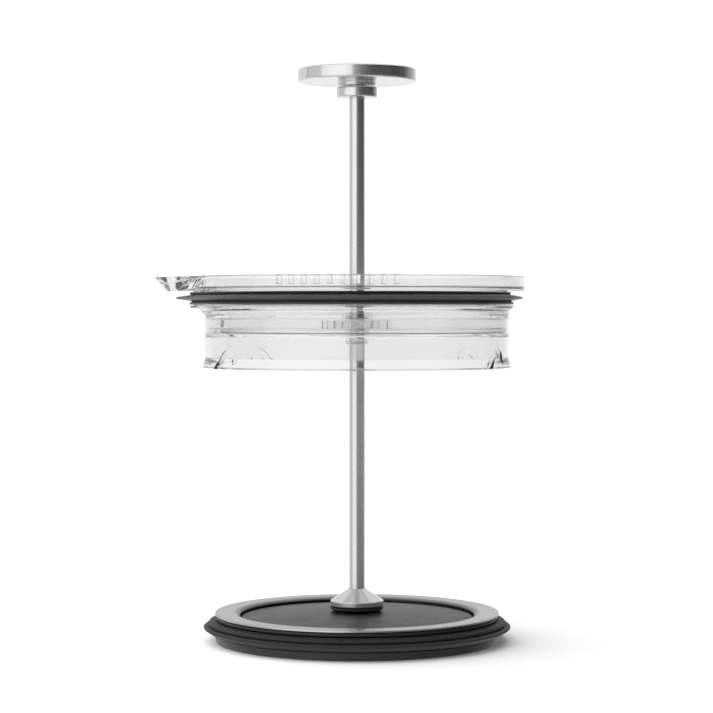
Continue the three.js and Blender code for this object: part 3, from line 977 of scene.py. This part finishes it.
quarters = ((-1, -1), (1, -1), (1, 1), (-1, 1))
floor_corners = [(x * FLOOR_HALF, y * FLOOR_HALF, 0) for x, y in quarters]
floor = object_from("studio_floor", floor_corners, [[0, 1, 2, 3]])
floor_look, floor_nodes, floor_shader = new_look(
    "pale_floor",
    Roughness=0.9,
    Specular_IOR_Level=0.0,
    Emission_Color=(1, 1, 1, 1),
    Emission_Strength=0.08,
)
floor_coordinates = floor_nodes.add("TexCoord").outputs["Object"]
floor_mottle = floor_nodes.noise(floor_coordinates, 30, 4.0, 0.6)
floor_colour = floor_nodes.tint(floor_mottle, (0.90,) * 3, (0.93,) * 3)
floor_nodes.put(floor_shader.inputs["Base Color"], floor_colour)
floor.data.materials.append(floor_look)
floor.visible_glossy = False
floor.visible_transmission = False
floor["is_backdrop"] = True

# Brightness round the horizon, by the angle from the camera's side: left is negative.
SURROUNDINGS = [
    (-180, 1.00),
    (-160, 0.92),
    (-125, 0.92),
    (-114.5, 1.00),
    (-113.5, 0.30),
    (-111.5, 0.30),
    (-110.5, 0.78),
    (-75, 0.78),
    (-71, 1.18),
    (-44, 1.33),
    (-24, 1.33),
    (-12, 1.20),
    (-9, 1.10),
    (-7.5, 0.50),
    (-1, 0.45),
    (2, 0.34),
    (8, 0.27),
    (12, 0.22),
    (22, 0.135),
    (31, 0.09),
    (62, 0.09),
    (76, 0.06),
    (92, 0.06),
    (94, 0.12),
    (101, 0.09),
    (104, 0.10),
    (110, 0.19),
    (121, 0.37),
    (135, 0.53),
    (154, 0.85),
    (166, 1.00),
    (180, 1.00),
]
# Faint glow about the horizon, by elevation, which shows where the surroundings are dark.
HORIZON_GLOW = [
    (-7.4, 0.0),
    (-6.7, 0.25),
    (-6.0, 0.34),
    (-5.3, 0.45),
    (-4.0, 0.51),
    (-3.0, 0.46),
    (-1.6, 0.40),
    (1.1, 0.27),
    (1.4, 0.20),
    (2.4, 0.0),
]


def scaled_ramp(nodes, value, stops, low, high):
    """A curve through (value, level) stops between two ends, with levels that may pass 1."""
    peak = max(level for _, level in stops)
    share = nodes.span(value, low, high, 0.0, 1.0)
    places = [((v - low) / (high - low), level / peak) for v, level in stops]
    return nodes.math("MULTIPLY", nodes.ramp(share, places), peak)


def build_surroundings():
    """The light about the part, which differs by what looks at it.

    Gloss reflects the list above, clear plastic shows it softened, matt surfaces get one soft side
    light, and the camera itself sees plain white.
    """
    world = bpy.data.worlds.new("studio")
    bpy.context.scene.world = world
    world.use_nodes = True
    world.cycles.sampling_method = "NONE"
    nodes = Nodes(world.node_tree)
    way = nodes.add("TexCoord").outputs["Generated"]
    front_way = Vector((math.sin(VIEW_TURN), -math.cos(VIEW_TURN), 0))
    right_way = Vector((math.cos(VIEW_TURN), math.sin(VIEW_TURN), 0))
    front = nodes.vector("DOT_PRODUCT", way, front_way)
    right = nodes.vector("DOT_PRODUCT", way, right_way)
    height = nodes.add("SeparateXYZ", {0: way}).outputs[2]
    angle = nodes.math("DEGREES", nodes.math("ARCTAN2", right, front))
    elevation = nodes.math("DEGREES", nodes.math("ARCSINE", height))
    round_horizon = scaled_ramp(nodes, angle, SURROUNDINGS, -180, 180)
    glow = scaled_ramp(nodes, elevation, HORIZON_GLOW, -10, 5)
    below = nodes.span(height, -0.03, 0.01, 0.88, 1.0)
    behind = nodes.span(front, -0.2, 0.2, 1.0, 0.0)
    dimmed = nodes.math("MULTIPLY", round_horizon, nodes.math("MAXIMUM", below, behind))
    near_horizon = nodes.math("MAXIMUM", dimmed, glow)
    steepness = nodes.math("ABSOLUTE", height)
    open_sky = nodes.span(steepness, 0.5, 0.7, 0.0, 1.0)
    seen = nodes.mix(open_sky, near_horizon, 1.0)
    lamp_way = (Vector((0, 0, 0.8)) - 0.95 * right_way - 0.15 * front_way).normalized()
    lit = nodes.span(nodes.vector("DOT_PRODUCT", way, lamp_way), -0.1, 1.0, 0.2, 2.3)
    light = nodes.add("LightPath")
    softened = nodes.math("MULTIPLY_ADD", seen, 0.5, 0.5)
    softened = nodes.math("MAXIMUM", softened, nodes.span(front, 0.0, 0.3, 0.0, 0.95))
    chosen = nodes.mix(light.outputs["Is Transmission Ray"], seen, softened)
    chosen = nodes.mix(light.outputs["Is Diffuse Ray"], chosen, lit)
    chosen = nodes.mix(light.outputs["Is Camera Ray"], chosen, BACKDROP)
    background = nodes.add("Background", {"Color": chosen})
    nodes.add("OutputWorld", {"Surface": background.outputs[0]})


build_surroundings()

scene = bpy.context.scene
scene.view_settings.view_transform = "Standard"
scene.cycles.max_bounces = 24
scene.cycles.transmission_bounces = 24
scene.cycles.glossy_bounces = 8

camera_data = bpy.data.cameras.new("camera")
camera_data.lens = 115.1
camera_data.clip_start, camera_data.clip_end = 0.05, 50
camera = bpy.data.objects.new("camera", camera_data)
scene.collection.objects.link(camera)
camera.location = (
    CAMERA_DISTANCE * math.sin(VIEW_TURN),
    -CAMERA_DISTANCE * math.cos(VIEW_TURN),
    CAMERA_HEIGHT,
)
camera.rotation_euler = (math.radians(90 - CAMERA_TILT), 0, VIEW_TURN + math.radians(CAMERA_PAN))
scene.camera = camera

low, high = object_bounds()
